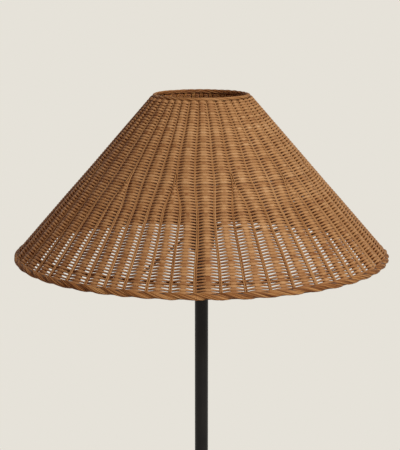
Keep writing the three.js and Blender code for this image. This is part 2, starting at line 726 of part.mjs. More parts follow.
function border(lobes, steps, [middle, height], width, tall) {
  return hoop(lobes * steps, BORDER_SIDES, (angle, around) => {
    const phase = lobes * (angle - FIRST_SECTOR) + around - LOBE_SEAT;
    const swell = 1 - (LOBE_SHARE / 2) * (1 - Math.cos(phase));
    return [
      middle + (width / 2) * swell * Math.cos(around),
      height + (tall / 2) * swell * Math.sin(around),
    ];
  });
}

function makeBorders() {
  const lower = border(
    LOWER_LOBES,
    LOWER_BORDER_STEPS,
    LOWER_MIDDLE,
    LOWER_BORDER_WIDTH,
    LOWER_BORDER_HEIGHT,
  );
  add("shade_lower_border", lower, RATTAN_DARK, SHADE_LOW);
  const upper = border(
    UPPER_LOBES,
    UPPER_BORDER_STEPS,
    UPPER_MIDDLE,
    UPPER_BORDER_WIDTH,
    UPPER_BORDER_HEIGHT,
  );
  add("shade_upper_border", upper, RATTAN_DARK, SHADE_LOW);
}

// Wire ring: it lies against the inner face of the weave, where the weavers bulge inwards.
const WIRE_RING_HEIGHT = wallHeight(WIRE_RING_SHARE);
const WIRE_RING_RADIUS =
  wallRadius(WIRE_RING_HEIGHT) - (BULGE + RING_WIRE_RADIUS + SEAT_GAP) * WALL_STRETCH;
const SPIDER_RIM_RADIUS = RING_FLANGE_RADIUS + SPIDER_REACH;

function makeShadeFrame() {
  const ring = hoop(BASE_SIDES, WIRE_SIDES, (_, around) => [
    WIRE_RING_RADIUS + RING_WIRE_RADIUS * Math.cos(around),
    WIRE_RING_HEIGHT + RING_WIRE_RADIUS * Math.sin(around),
  ]);
  add("shade_wire_ring", ring, BROWN_WIRE, SHADE_LOW);
  const plate = pipe(SPIDER_RIM_RADIUS, RING_BORE_RADIUS, 0, SPIDER_THICKNESS);
  add("spider_ring", plate, BROWN_WIRE, SPIDER_LOW);
  for (let i = 0; i < ARM_COUNT; i++) {
    const turn = ARM_FIRST_DEGREES + (i * 360) / ARM_COUNT;
    const arm = spiderArm().rotateZ(THREE.MathUtils.degToRad(turn));
    add(`spider_arm_${i + 1}`, arm, BROWN_WIRE);
  }
}

// Arm: a straight wire from the edge of the spider ring out and down to the wire ring.
function spiderArm() {
  const inner = SPIDER_RIM_RADIUS + SEAT_GAP;
  const outer = flatRadius(WIRE_RING_RADIUS - RING_WIRE_RADIUS, BASE_SIDES) - SEAT_GAP;
  const high = SPIDER_LOW + SPIDER_THICKNESS / 2;
  const low = SHADE_LOW + WIRE_RING_HEIGHT;
  const tilt = Math.atan2(high - low, outer - inner);
  const set = ARM_RADIUS * Math.sin(tilt); // keeps the square-cut ends clear of the rings
  const route = new THREE.LineCurve3(
    new THREE.Vector3(inner + set, 0, high),
    new THREE.Vector3(outer - set, 0, low),
  );
  const section = new THREE.Shape().absarc(0, 0, ARM_RADIUS, 0, 2 * Math.PI);
  return new THREE.ExtrudeGeometry(section, {
    extrudePath: route,
    steps: 1,
    curveSegments: WIRE_SIDES / 2,
    bevelEnabled: false,
  });
}

makePad();
makeWeight();
makeCover();
makeBush();
makeBaseFixing();
makePole();
makeHolderCap();
makeHolderSkirt();
makeHolderCore();
makeShadeRings();
makeBulb();
makeWeave();
makeBorders();
makeShadeFrame();

export default lamp;
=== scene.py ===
import math

import bmesh
import bpy
import numpy as np
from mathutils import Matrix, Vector


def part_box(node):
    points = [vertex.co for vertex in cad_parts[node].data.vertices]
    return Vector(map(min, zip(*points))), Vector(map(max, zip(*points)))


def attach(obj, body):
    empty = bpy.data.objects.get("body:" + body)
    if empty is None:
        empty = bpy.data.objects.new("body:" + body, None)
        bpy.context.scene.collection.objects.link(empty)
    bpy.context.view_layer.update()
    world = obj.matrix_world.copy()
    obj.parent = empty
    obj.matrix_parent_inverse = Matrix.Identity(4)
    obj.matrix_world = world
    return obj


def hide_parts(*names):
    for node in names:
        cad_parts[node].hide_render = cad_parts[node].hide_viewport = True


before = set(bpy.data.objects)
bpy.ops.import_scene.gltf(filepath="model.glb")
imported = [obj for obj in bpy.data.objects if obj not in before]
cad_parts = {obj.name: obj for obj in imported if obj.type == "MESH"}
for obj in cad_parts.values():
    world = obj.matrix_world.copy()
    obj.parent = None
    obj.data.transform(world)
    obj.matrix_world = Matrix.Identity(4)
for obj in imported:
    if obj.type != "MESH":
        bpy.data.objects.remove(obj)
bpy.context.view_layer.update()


# The view. The camera stands 2.1 m in front of the lamp, a little above its shade, and looks
# slightly down at it, with a long lens. Its place was worked out from the shade's two rims.
# Sizes are in metres where a name gives no other unit.
shade_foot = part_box("shade_lower_border")[0].z
camera_distance = 2.0822
camera_above_shade = 0.4501
camera_side = -0.0024
camera_pitch = math.radians(10.844)
picture_height_px = 450
focal_length_px = 1320.3
sensor_mm = 36

camera = bpy.data.objects.new("camera", bpy.data.cameras.new("camera"))
bpy.context.scene.collection.objects.link(camera)
camera.data.sensor_width = sensor_mm
camera.data.lens = sensor_mm * focal_length_px / picture_height_px
camera.location = (camera_side, -camera_distance, shade_foot + camera_above_shade)
camera.rotation_euler = (math.pi / 2 - camera_pitch, 0, 0)
bpy.context.scene.camera = camera
bpy.context.scene.view_settings.view_transform = "Standard"


# The studio. A pale floor that fades into a pale surround, a large soft lamp at the front right,
# a very weak one at the left and the surround's own even light. The floor fades with the
# distance from the lamp's foot.
studio_colour = (0.791, 0.761, 0.694, 1)
surround_colour = (1, 0.51, 0.42, 1)
surround_light = 0.16
floor_radius = 3.0
floor_rings = 12
floor_sides = 96
floor_fade = (0.9, 2.0)
lamps_aim = Vector((0, 0, shade_foot + 0.15))  # inside the shade
lamps = {
    "soft_key": {"at": (2.6, -3.8, 3.9), "size": 1.2, "watts": 250, "colour": (1, 0.99, 0.95)},
    "soft_fill": {"at": (-2.0, -1.4, 1.6), "size": 1.6, "watts": 1, "colour": (1, 0.72, 0.60)},
}


def fill(tree, node, sockets):
    """Gives a node's sockets their values, or a link where another node's socket is given."""
    for socket, value in sockets.items():
        if isinstance(value, bpy.types.NodeSocket):
            tree.links.new(value, node.inputs[socket])
        else:
            node.inputs[socket].default_value = value
    return node.outputs


def add(tree, kind, sockets, **settings):
    """A new node with these settings and sockets. Returns its outputs."""
    node = tree.nodes.new(kind)
    for name, value in settings.items():
        setattr(node, name, value)
    return fill(tree, node, sockets)


def ranged(tree, value, low, high, to=(0, 1)):
    """A socket that runs between the two numbers of to while value runs from low to high."""
    ends = {"From Min": low, "From Max": high, "To Min": to[0], "To Max": to[1]}
    return add(tree, "ShaderNodeMapRange", {"Value": value, **ends})["Result"]


def seen_directly(tree):
    """A socket that is 1 for camera, glossy and transmission rays, and 0 for the light's rays."""
    path = add(tree, "ShaderNodeLightPath", {})
    seen = path["Is Camera Ray"]
    for ray in ("Is Glossy Ray", "Is Transmission Ray"):
        seen = add(tree, "ShaderNodeMath", {0: seen, 1: path[ray]}, operation="MAXIMUM")[0]
    return seen


def disc_mesh(name, radius, rings, sides):
    """A flat disc: points at radius times a share, turned round the Z axis, on the floor."""
    share = np.linspace(0, 1, rings + 1)[1:]
    turn = np.arange(sides) * 2 * math.pi / sides
    ring = radius * share[:, None, None] * np.stack([np.cos(turn), np.sin(turn)], -1)
    flat = np.concatenate([np.zeros((1, 2)), ring.reshape(-1, 2)])
    points = np.column_stack([flat, np.zeros(len(flat))])
    here = np.arange(sides)
    there = (here + 1) % sides
    centre = np.column_stack([np.zeros(sides, int), 1 + here, 1 + there])
    rows = np.arange(rings - 1)[:, None] * sides + 1
    quads = np.stack(
        [rows + here, rows + sides + here, rows + sides + there, rows + there], -1
    ).reshape(-1, 4)
    mesh = bpy.data.meshes.new(name)
    mesh.from_pydata(points.tolist(), [], centre.tolist() + quads.tolist())
    return mesh


world = bpy.data.worlds.new("surround")
bpy.context.scene.world = world
world.use_nodes = True
tree = world.node_tree
tree.nodes.clear()
even_light = {"Color": surround_colour, "Strength": surround_light}
lit = add(tree, "ShaderNodeBackground", even_light)[0]
seen = add(tree, "ShaderNodeBackground", {"Color": studio_colour})[0]
choice = add(tree, "ShaderNodeMixShader", {0: seen_directly(tree), 1: lit, 2: seen})[0]
add(tree, "ShaderNodeOutputWorld", {"Surface": choice})

floor = bpy.data.objects.new("floor", disc_mesh("floor", floor_radius, floor_rings, floor_sides))
bpy.context.scene.collection.objects.link(floor)
paint = bpy.data.materials.new("pale_floor")
paint.use_nodes = True
tree = paint.node_tree
tree.nodes.clear()
matt = add(tree, "ShaderNodeBsdfDiffuse", {"Color": studio_colour})[0]
glow = add(tree, "ShaderNodeEmission", {"Color": studio_colour})[0]
place = add(tree, "ShaderNodeTexCoord", {})["Object"]
reach = add(tree, "ShaderNodeVectorMath", {0: place}, operation="LENGTH")["Value"]
fade = ranged(tree, reach, *floor_fade)
both = add(tree, "ShaderNodeMath", {0: fade, 1: seen_directly(tree)}, operation="MULTIPLY")[0]
choice = add(tree, "ShaderNodeMixShader", {0: both, 1: matt, 2: glow})[0]
add(tree, "ShaderNodeOutputMaterial", {"Surface": choice})
floor.data.materials.append(paint)

for name, lamp in lamps.items():
    light = bpy.data.lights.new(name, "AREA")
    light.shape = "DISK"
    light.size = lamp["size"]
    light.energy = lamp["watts"]
    light.color = lamp["colour"]
    holder = bpy.data.objects.new(name, light)
    holder.location = lamp["at"]
    holder.rotation_euler = (lamps_aim - holder.location).to_track_quat("-Z", "Y").to_euler()
    bpy.context.scene.collection.objects.link(holder)


# The base. A spun steel cover with a rolled shoulder, powder coated black, sits over a cast
# weight, with a foam ring glued below. An M10 tube, a nut and a washer pull it to the pole.
round_sides = 96
edge_steps = 5
edge_limit = 0.4
edge_guard = 1.15
cover_sides = 144
cover_sheet = 0.0015
cover_shoulder = 0.006
shoulder_steps = 9
cover_hem = 0.0008
hem_round = 0.0002
tube_hole = 0.0053
foam_bore = 0.032
foam_edge = 0.0006
bush_sides = 48
bush_bore = 0.0032
bush_barrel = 0.0045
bush_edge = 0.0005
bush_gap = 0.0003
merge_within = 1e-6
even_range = (0.35, 0.65)
grain_height = 0.2


def rounded(corners, radius):
    """A profile of (radius, height) corners with each corner rounded by a short arc. The arc is
    the quadratic curve from one side of the corner to the other, cut back by the radius, or by the
    limit's share of the shorter side. One more point, the guard, lies just outside each of its
    ends and keeps the flats flat when they are shaded smoothly."""
    corners = np.asarray(corners, float)
    before = np.roll(corners, 1, 0) - corners
    after = np.roll(corners, -1, 0) - corners
    lengths = [np.linalg.norm(side, axis=1, keepdims=True) for side in (before, after)]
    cut = np.minimum(radius, edge_limit * np.minimum(*lengths))
    first = corners + before / lengths[0] * cut
    last = corners + after / lengths[1] * cut
    early = corners + before / lengths[0] * cut * edge_guard
    late = corners + after / lengths[1] * cut * edge_guard
    t = np.linspace(0, 1, edge_steps)[None, :, None]
    arc = first[:, None] * (1 - t) ** 2 + 2 * corners[:, None] * t * (1 - t) + last[:, None] * t**2
    return np.concatenate([early[:, None], arc, late[:, None]], 1).reshape(-1, 2)


def spun(name, profile, sides=round_sides, shape=None, poles=False):
    """A closed profile of (radius, height) points, counterclockwise with the radius to the right,
    turned about the Z axis. shape, if given, changes the radius and height at each turn. With
    poles the profile is open and starts and ends on the axis, where the sides meet in one point."""
    turn = np.arange(sides) * 2 * math.pi / sides
    radius = np.broadcast_to(profile[:, 0, None], (len(profile), sides))
    height = np.broadcast_to(profile[:, 1, None], (len(profile), sides))
    if shape is not None:
        radius, height = shape(radius, height, turn[None, :])
    points = np.stack([radius * np.cos(turn), radius * np.sin(turn), height], -1)
    index = np.arange(points[..., 0].size).reshape(len(profile), sides)
    following = np.roll(index, -1, 0)
    quads = np.stack([index, np.roll(index, -1, 1), np.roll(following, -1, 1), following], -1)
    if poles:
        quads = quads[:-1]
    mesh = bpy.data.meshes.new(name)
    mesh.from_pydata(points.reshape(-1, 3), [], quads.reshape(-1, 4))
    mesh.polygons.foreach_set("use_smooth", np.ones(len(mesh.polygons), bool))
    if poles:
        loose = bmesh.new()
        loose.from_mesh(mesh)
        bmesh.ops.remove_doubles(loose, verts=loose.verts, dist=merge_within)
        loose.to_mesh(mesh)
        loose.free()
    return mesh


def show(mesh, body, material, slot, *replaced):
    """Puts a mesh in the scene as a piece of the same name, which rides on a body, has a finish
    and stands for its CAD nodes. The slot is not used."""
    piece = bpy.data.objects.new(mesh.name, mesh)
    bpy.context.scene.collection.objects.link(piece)
    mesh.materials.append(material)
    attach(piece, body)
    if replaced:
        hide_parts(*replaced)
    return piece


def dress(material, *nodes):
    """Gives CAD nodes a material."""
    for node in nodes:
        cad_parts[node].data.materials.clear()
        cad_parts[node].data.materials.append(material)


def blended(tree, share, first, second):
    """A colour between two others, the second one where share is 1."""
    sockets = {"Factor": share, 6: first, 7: second}
    return add(tree, "ShaderNodeMix", sockets, data_type="RGBA")[2]


def node_group(name, inputs, outputs):
    """An empty node group whose named inputs and outputs are of the given kinds."""
    group = bpy.data.node_groups.new(name, "ShaderNodeTree")
    for way, sockets in (("INPUT", inputs), ("OUTPUT", outputs)):
        for label, kind in sockets.items():
            group.interface.new_socket(name=label, in_out=way, socket_type=f"NodeSocket{kind}")
    return group


def speckle_group():
    """Two noises on Object coordinates: Fine for the grain of the surface, Broad, about 33 times as
    wide, for slow changes of colour and gloss. Size is the width of the fine grains."""
    group = node_group("speckle", {"Size": "Float"}, {"Broad": "Float", "Fine": "Float"})
    size = add(group, "NodeGroupInput", {})["Size"]
    place = add(group, "ShaderNodeTexCoord", {})["Object"]
    per_metre = add(group, "ShaderNodeMath", {0: 1, 1: size}, operation="DIVIDE")[0]
    noises = {}
    for label, share, detail in (("Broad", 0.03, 3), ("Fine", 1, 2)):
        scale = add(group, "ShaderNodeMath", {0: per_metre, 1: share}, operation="MULTIPLY")[0]
        noise = {"Vector": place, "Scale": scale, "Detail": detail}
        noises[label] = add(group, "ShaderNodeTexNoise", noise)["Fac"]
    add(group, "NodeGroupOutput", noises)
    return group


speckle = speckle_group()


def finish(name, low, high, rough, metal=0.0, size=0.001, relief=0.1, coat=0.0, specular=0.5):
    """A plain surface that is never quite even: its colour runs between low and high and its
    roughness between the two values of rough, and fine grains of the given size stand out."""
    material = bpy.data.materials.new(name)
    material.use_nodes = True
    tree = material.node_tree
    grains = add(tree, "ShaderNodeGroup", {"Size": size}, node_tree=speckle)
    even = ranged(tree, grains["Broad"], *even_range)
    bump = {"Strength": relief, "Distance": size * grain_height, "Height": grains["Fine"]}
    fill(tree, tree.nodes["Principled BSDF"], {
        "Metallic": metal,
        "Coat Weight": coat,
        "Specular IOR Level": specular,
        "Base Color": blended(tree, even, (*low, 1), (*high, 1)),
        "Roughness": ranged(tree, grains["Broad"], 0, 1, rough),
        "Normal": add(tree, "ShaderNodeBump", bump)["Normal"],
    })
    return material


black_paint = finish(
    "black_powder_coat", (0.005, 0.0046, 0.005), (0.009, 0.0082, 0.008), (0.36, 0.5),
    size=0.0012, relief=0.25, specular=0.2,
)
black_plastic = finish(
    "black_plastic", (0.006, 0.0054, 0.005), (0.010, 0.009, 0.0082), (0.38, 0.55),
    size=0.0006, relief=0.2, specular=0.3,
)
zinc = finish("zinc_plate", (0.42, 0.43, 0.45), (0.56, 0.57, 0.58), (0.25, 0.5), metal=1.0)
cast_iron = finish(
    "cast_iron", (0.035, 0.033, 0.031), (0.075, 0.07, 0.064), (0.7, 0.9), size=0.002, relief=0.8
)
foam = finish(
    "foam", (0.018, 0.018, 0.017), (0.03, 0.03, 0.028), (0.85, 0.97), size=0.0009, relief=0.9
)

low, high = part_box("base_cover")
side_in = high.x - cover_sheet
flat_edge = high.x - 2 * cover_shoulder
under = high.z - cover_sheet
shoulder_turn = np.linspace(0, math.pi / 2, shoulder_steps)
shoulder = np.column_stack([np.cos(shoulder_turn), np.sin(shoulder_turn)])
shoulder_centre = [high.x - cover_shoulder, high.z - cover_shoulder]
cover = np.concatenate([
    [[side_in, low.z], [high.x - cover_sheet / 2, low.z - hem_round], [high.x, low.z]],
    [[high.x, low.z + cover_hem]],
    shoulder_centre + cover_shoulder * shoulder,
    [[flat_edge, high.z], [tube_hole, high.z], [tube_hole, under], [flat_edge, under]],
    shoulder_centre + (cover_shoulder - cover_sheet) * shoulder[::-1],
    [[side_in, low.z + cover_hem]],
])
show(spun("base_cover_spun", cover, cover_sides), "stand", black_paint, "black_paint",
     "base_cover")
cover_back = high.y

low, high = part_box("base_pad")
ring = [[foam_bore, low.z], [high.x, low.z], [high.x, high.z], [foam_bore, high.z]]
pad = show(spun("foam_ring", rounded(ring, foam_edge)), "stand", foam, "foam", "base_pad")

low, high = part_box("lead_bush")
bush_height = (low.z + high.z) / 2
flange = (high.z - low.z) / 2
flange_back = cover_back + bush_gap
bush = [
    [bush_bore, low.y], [bush_barrel, low.y], [bush_barrel, flange_back],
    [flange, flange_back], [flange, high.y], [bush_bore, high.y],
]
mesh = spun("lead_bush_moulded", rounded(bush, bush_edge), bush_sides)
points = np.empty(len(mesh.vertices) * 3)
mesh.vertices.foreach_get("co", points)
x, y, z = points.reshape(-1, 3).T
mesh.vertices.foreach_set("co", np.column_stack([x, z, bush_height - y]).ravel())
show(mesh, "stand", black_plastic, "black_plastic", "lead_bush")

dress(cast_iron, "base_weight")
dress(zinc, "base_washer", "base_nut", "base_nipple")


# The pole. Three lengths of 22 mm steel tube, powder coated black. Turned inserts are pressed
# into their ends, and short threaded tubes screw one length to the next.
tube_wall = 0.0015
tube_edge = 0.0004
for part in ("lower", "middle", "upper"):
    low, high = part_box(f"pole_{part}_tube")
    bore = high.x - tube_wall
    wall = [[bore, low.z], [high.x, low.z], [high.x, high.z], [bore, high.z]]
    show(spun(f"pole_{part}_drawn", rounded(wall, tube_edge)), "stand", black_paint,
         "black_paint", f"pole_{part}_tube")
    dress(zinc, f"pole_{part}_foot_insert", f"pole_{part}_head_insert")
dress(zinc, "pole_middle_joint_nipple", "pole_upper_joint_nipple")


# The lampholder. A moulded cap screws on the pole's top, a skirt with a coarse outer thread
# screws into the cap, and a glazed ceramic core inside carries the brass screw shell.
cap_neck = {"radius": 0.0135, "height": 0.010}
cap_wall = 0.0025
cap_floor = 0.006
cap_edge = 0.0012
thread_root = 0.0053
skirt_wall = 0.003
skirt_shoulder = 0.006
skirt_edge = 0.0005
skirt_thread = 0.0196
skirt_lip = {"radius": 0.0146, "height": 0.003}
skirt_pitch = 0.003
skirt_depth = 0.0008
skirt_levels = 130
skirt_run_in = 0.0004
skirt_bevel = 0.0006
ceramic = finish(
    "glazed_ceramic", (0.72, 0.69, 0.62), (0.79, 0.76, 0.69), (0.12, 0.25), coat=0.4,
    size=0.002, relief=0.05,
)
brass = finish("brass", (0.48, 0.30, 0.085), (0.58, 0.38, 0.13), (0.22, 0.4), metal=1.0)

low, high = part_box("lampholder_cap")
neck_high = low.z + cap_neck["height"]
floor_high = low.z + cap_floor
bore = high.x - cap_wall
cap = [
    [thread_root, low.z], [cap_neck["radius"], low.z], [high.x, neck_high], [high.x, high.z],
    [bore, high.z], [bore, neck_high],
    [cap_neck["radius"] - cap_wall, floor_high], [thread_root, floor_high],
]
show(spun("lampholder_cap_moulded", rounded(cap, cap_edge)), "stand", black_plastic,
     "black_plastic", "lampholder_cap")

low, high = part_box("lampholder_skirt")
thread_low = low.z + skirt_shoulder
thread_high = high.z - skirt_bevel
bore = skirt_thread - skirt_wall
lip_low = high.z - skirt_lip["height"]
levels = np.linspace(thread_low + skirt_run_in, thread_high, skirt_levels)
skirt = np.concatenate([
    [[bore, low.z], [high.x - skirt_edge, low.z], [high.x, low.z + skirt_edge]],
    [[high.x, thread_low - skirt_edge], [high.x - skirt_edge, thread_low]],
    [[skirt_thread, thread_low]],
    np.column_stack([np.full(skirt_levels, skirt_thread), levels]),
    [[skirt_thread - skirt_bevel, high.z], [skirt_lip["radius"], high.z]],
    [[skirt_lip["radius"], lip_low], [bore, lip_low]],
])


def thread_dip(height, turn, pitch, foot, start, end, fade):
    """How deep a screw thread dips, from 0 to 1: a rounded wave that climbs one pitch a turn from
    the foot. It fades in over the length fade above start, and out half a pitch below end."""
    wave = (height - foot) / pitch - turn / (2 * math.pi)
    run = np.clip((height - start) / fade, 0, 1) * np.clip((end - height) / pitch * 2, 0, 1)
    return (0.5 - 0.5 * np.cos(2 * math.pi * wave)) * run


def skirt_threaded(radius, height, turn):
    """The skirt's outer thread, cut into its wall."""
    dip = thread_dip(height, turn, skirt_pitch, low.z, thread_low, thread_high, skirt_pitch)
    on_thread = np.abs(radius - skirt_thread) < merge_within
    return radius - on_thread * skirt_depth * dip, height


mesh = spun("lampholder_skirt_threaded", skirt, round_sides, skirt_threaded)
show(mesh, "stand", black_plastic, "black_plastic", "lampholder_skirt")
dress(zinc, "lampholder_nipple")
dress(ceramic, "lampholder_core")
dress(brass, "lampholder_screw_shell", "lampholder_centre_contact")
dress(brass, "terminal_screw_left", "terminal_screw_right")


# The two shade rings. Moulded collars with a gripped flange run on the skirt's thread, and the
# shade's spider is clamped between them. The lower one stays on the lampholder.
ring_bore = 0.0199
ring_collar = 0.0025
ring_flange = 0.0025
ring_edge = 0.0006
ring_sides = 160
ring_grips = 16
grip_reach = 0.003
grip_depth = 0.0012


def gripped(radius, height, turn):
    """Finger grips: the flange's edge dips along a wave round the ring. The dip grows from
    nothing near the collar to its full depth over the grip's reach."""
    share = np.clip((radius - ring_bore - 2 * ring_collar) / grip_reach, 0, 1)
    return radius - share * grip_depth * (0.5 - 0.5 * np.cos(ring_grips * turn)), height


def shade_ring(node, name, body):
    """A ring whose flange lies at the end that faces the spider."""
    low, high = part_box(node)
    collar = ring_bore + ring_collar
    if body == "stand":
        section = [
            [ring_bore, low.z], [collar, low.z], [collar, high.z - ring_flange],
            [high.x, high.z - ring_flange], [high.x, high.z], [ring_bore, high.z],
        ]
    else:
        section = [
            [ring_bore, low.z], [high.x, low.z], [high.x, low.z + ring_flange],
            [collar, low.z + ring_flange], [collar, high.z], [ring_bore, high.z],
        ]
    mesh = spun(name, rounded(section, ring_edge), ring_sides, gripped)
    show(mesh, body, black_plastic, "black_plastic", node)


shade_ring("lower_shade_ring", "lower_ring_gripped", "stand")
shade_ring("upper_shade_ring", "upper_ring_gripped", "ring")


# The bulb. A plated screw cap with a glass insulator and a contact below, a white plastic collar
# that flares upwards, and an opal globe that is glued into it. It screws down into the lampholder.
rolled_wall = 0.0005
rolled_taper = 0.002
rolled_rim = 0.0015
rolled_pitch = 0.0036
rolled_depth = 0.0007
rolled_levels = 90
rolled_sides = 72
collar_wall = 0.0012
collar_gap = 0.0002
collar_neck = 0.009
collar_edge = 0.0012
globe_rise = 0.078
globe_wall = 0.001
globe_levels = 24
dome_levels = 21
nickel = finish("nickel_plate", (0.50, 0.49, 0.47), (0.62, 0.61, 0.58), (0.2, 0.38), metal=1.0)
white_plastic = finish(
    "white_plastic", (0.74, 0.73, 0.70), (0.79, 0.78, 0.75), (0.35, 0.5), size=0.0008
)
opal = finish(
    "opal_glass", (0.60, 0.55, 0.47), (0.66, 0.61, 0.53), (0.3, 0.45), size=0.004, relief=0.03,
)

low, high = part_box("bulb_screw_cap")
rolled_low = low.z + rolled_taper
rolled_high = high.z - rolled_rim
bore = high.x - rolled_wall
levels = np.linspace(rolled_low, rolled_high, rolled_levels)
cap = np.concatenate([
    [[bore - rolled_taper, low.z], [high.x - rolled_taper, low.z]],
    np.column_stack([np.full(rolled_levels, high.x), levels]),
    [[high.x, high.z], [bore, high.z]],
    np.column_stack([np.full(rolled_levels, bore), levels[::-1]]),
])
neck = high.x + collar_gap


def cap_threaded(radius, height, turn):
    """The cap's rolled thread, which dents both faces of the thin sheet."""
    low, high = rolled_low, rolled_high
    dip = thread_dip(height, turn, rolled_pitch, low, low, high, rolled_pitch / 2)
    return radius - rolled_depth * dip, height


show(spun("bulb_cap_rolled", cap, rolled_sides, cap_threaded), "bulb", nickel, "nickel",
     "bulb_screw_cap")

low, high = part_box("bulb_collar")
bore = neck - collar_wall
neck_high = low.z + collar_neck
collar = [
    [bore, low.z], [neck, low.z], [neck, neck_high],
    [high.x, high.z], [high.x - collar_wall, high.z], [bore, neck_high],
]
show(spun("bulb_collar_moulded", rounded(collar, collar_edge)), "bulb", white_plastic,
     "white_plastic", "bulb_collar")
globe_neck = high.x


def globe_side(radius, neck, low):
    """A side that swells from the neck as a quarter sine and closes in a quarter circle."""
    share = np.linspace(0, 1, globe_levels, endpoint=False)
    turn = np.linspace(0, math.pi / 2, dome_levels)
    swell = neck + (radius - neck) * np.sin(share * math.pi / 2)
    rise = np.column_stack([swell, low + globe_rise * share])
    dome = np.column_stack([radius * np.cos(turn), low + globe_rise + radius * np.sin(turn)])
    dome[-1, 0] = 0
    return np.concatenate([rise, dome])


low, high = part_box("bulb_globe")
inner = globe_side(high.x - globe_wall, globe_neck - globe_wall, low.z)
outer = globe_side(high.x, globe_neck, low.z)
mesh = spun("bulb_globe_blown", np.concatenate([inner[::-1], outer]), round_sides, poles=True)
show(mesh, "bulb", opal, "opal", "bulb_globe")
dress(zinc, "bulb_led_board")
dress(black_plastic, "bulb_insulator")
dress(brass, "bulb_contact")


# The wire frame of the shade. A flat steel ring is clamped between the two shade rings, and three
# straight wires are welded to it and to a hoop that lies inside the rim. All are painted brown.
wire_hoop = 0.0022
wire_arm = 0.002
wire_sides = 12
hoop_steps = 288
weld_swell = 0.0014
weld_length = 0.0035
weld_bite = 0.001
arm_turns = np.radians([-111, 9, 129])
arm_ends = np.array([0, 0.004, 0.012, 0.02])
arm_middle = np.linspace(0.04, 0.96, 12)
plate_edge = 0.0005
brown_paint = finish(
    "brown_wire_paint", (0.020, 0.011, 0.007), (0.034, 0.019, 0.011), (0.4, 0.6), size=0.0008,
    relief=0.2,
)


def strands(name, path, out, wide, thick, tint=0.5, sides=6, closed=False, round_share=1):
    """Rods along paths. path and out are (rod, step, xyz); the section at each step is an ellipse,
    wide across the path and thick along out, and boxier where round_share, the power of its sine
    and cosine, is less than 1. The grain map holds metres along and around the rod, and the
    attribute tint holds a shade of the cane for each step, or for each step and side."""
    rods, steps = path.shape[:2]
    if closed:
        ahead = np.roll(path, -1, 1) - np.roll(path, 1, 1)
    else:
        ahead = np.gradient(path, axis=1)
    ahead /= np.linalg.norm(ahead, axis=-1, keepdims=True)
    side = np.cross(ahead, out)
    side /= np.linalg.norm(side, axis=-1, keepdims=True)
    up = np.cross(side, ahead)
    around = np.arange(sides) * 2 * math.pi / sides
    wide = np.broadcast_to(wide, (rods, steps))[..., None]
    thick = np.broadcast_to(thick, (rods, steps))[..., None]
    round_share = np.broadcast_to(round_share, (rods, steps))[..., None]
    across = np.sign(np.cos(around)) * np.abs(np.cos(around)) ** round_share * wide / 2
    outward = np.sign(np.sin(around)) * np.abs(np.sin(around)) ** round_share * thick / 2
    ring = side[:, :, None] * across[..., None] + up[:, :, None] * outward[..., None]
    points = (path[:, :, None] + ring).reshape(-1, 3)
    spans = steps if closed else steps - 1
    index = np.arange(rods * steps * sides).reshape(rods, steps, sides)
    following = np.roll(index, -1, 1)[:, :spans]
    here = index[:, :spans]
    quads = np.stack([here, following, np.roll(following, -1, 2), np.roll(here, -1, 2)], -1)
    length = np.linalg.norm(np.diff(path, axis=1, append=path[:, :1]), axis=-1)
    along = np.concatenate([np.zeros((rods, 1)), np.cumsum(length, 1)], 1)[:, :, None]
    girth = float(np.mean(wide) + np.mean(thick)) * math.pi / 2
    shape = (rods, spans, sides)
    u = [np.broadcast_to(along[:, i : spans + i], shape) for i in (0, 1, 1, 0)]
    v = [np.broadcast_to((np.arange(sides) + i) * girth / sides, shape) for i in (0, 0, 1, 1)]
    corners = np.stack([np.stack(u, -1), np.stack(v, -1)], -1).reshape(-1, 2)
    loops = quads.reshape(-1)
    totals = np.full(len(loops) // 4, 4)
    if not closed:
        ends = np.concatenate([index[:, 0], index[:, -1, ::-1]])
        loops = np.concatenate([loops, ends.reshape(-1)])
        totals = np.concatenate([totals, np.full(len(ends), sides)])
        corners = np.concatenate([corners, np.zeros((ends.size, 2))])
    mesh = bpy.data.meshes.new(name)
    mesh.vertices.add(len(points))
    mesh.vertices.foreach_set("co", points.ravel().astype(np.float32))
    mesh.loops.add(len(loops))
    mesh.loops.foreach_set("vertex_index", loops.astype(np.int32))
    mesh.polygons.add(len(totals))
    mesh.polygons.foreach_set("loop_start", (np.cumsum(totals) - totals).astype(np.int32))
    mesh.polygons.foreach_set("use_smooth", np.ones(len(totals), bool))
    mesh.uv_layers.new(name="grain").data.foreach_set("uv", corners.ravel().astype(np.float32))
    shades = mesh.attributes.new("tint", "FLOAT", "POINT")
    if np.ndim(tint) < 3:
        tint = np.broadcast_to(tint, (rods, steps))[..., None]
    each = np.broadcast_to(tint, (rods, steps, sides))
    shades.data.foreach_set("value", each.reshape(-1).astype(np.float32))
    mesh.update()
    mesh.validate()
    return mesh


def circle(radius, height, steps):
    """A level circle round the Z axis. Returns the turns, the points and the ways out there."""
    turn = np.arange(steps) * 2 * math.pi / steps
    out = np.column_stack([np.cos(turn), np.sin(turn), np.zeros(steps)])
    return turn, out * radius + [0, 0, height], out


low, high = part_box("spider_ring")
arm_start = high.x - weld_bite
ring_height = (low.z + high.z) / 2
plate = [[ring_bore, low.z], [high.x, low.z], [high.x, high.z], [ring_bore, high.z]]
show(spun("spider_ring_stamped", rounded(plate, plate_edge)), "shade", brown_paint, "brown_wire",
     "spider_ring")

low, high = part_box("shade_wire_ring")
hoop_radius = high.x - wire_hoop
hoop_height = (low.z + high.z) / 2
turn, path, out = circle(hoop_radius, hoop_height, hoop_steps)
mesh = strands("wire_hoop", path[None], out[None], 2 * wire_hoop, 2 * wire_hoop,
               sides=wire_sides, closed=True)
show(mesh, "shade", brown_paint, "brown_wire", "shade_wire_ring")

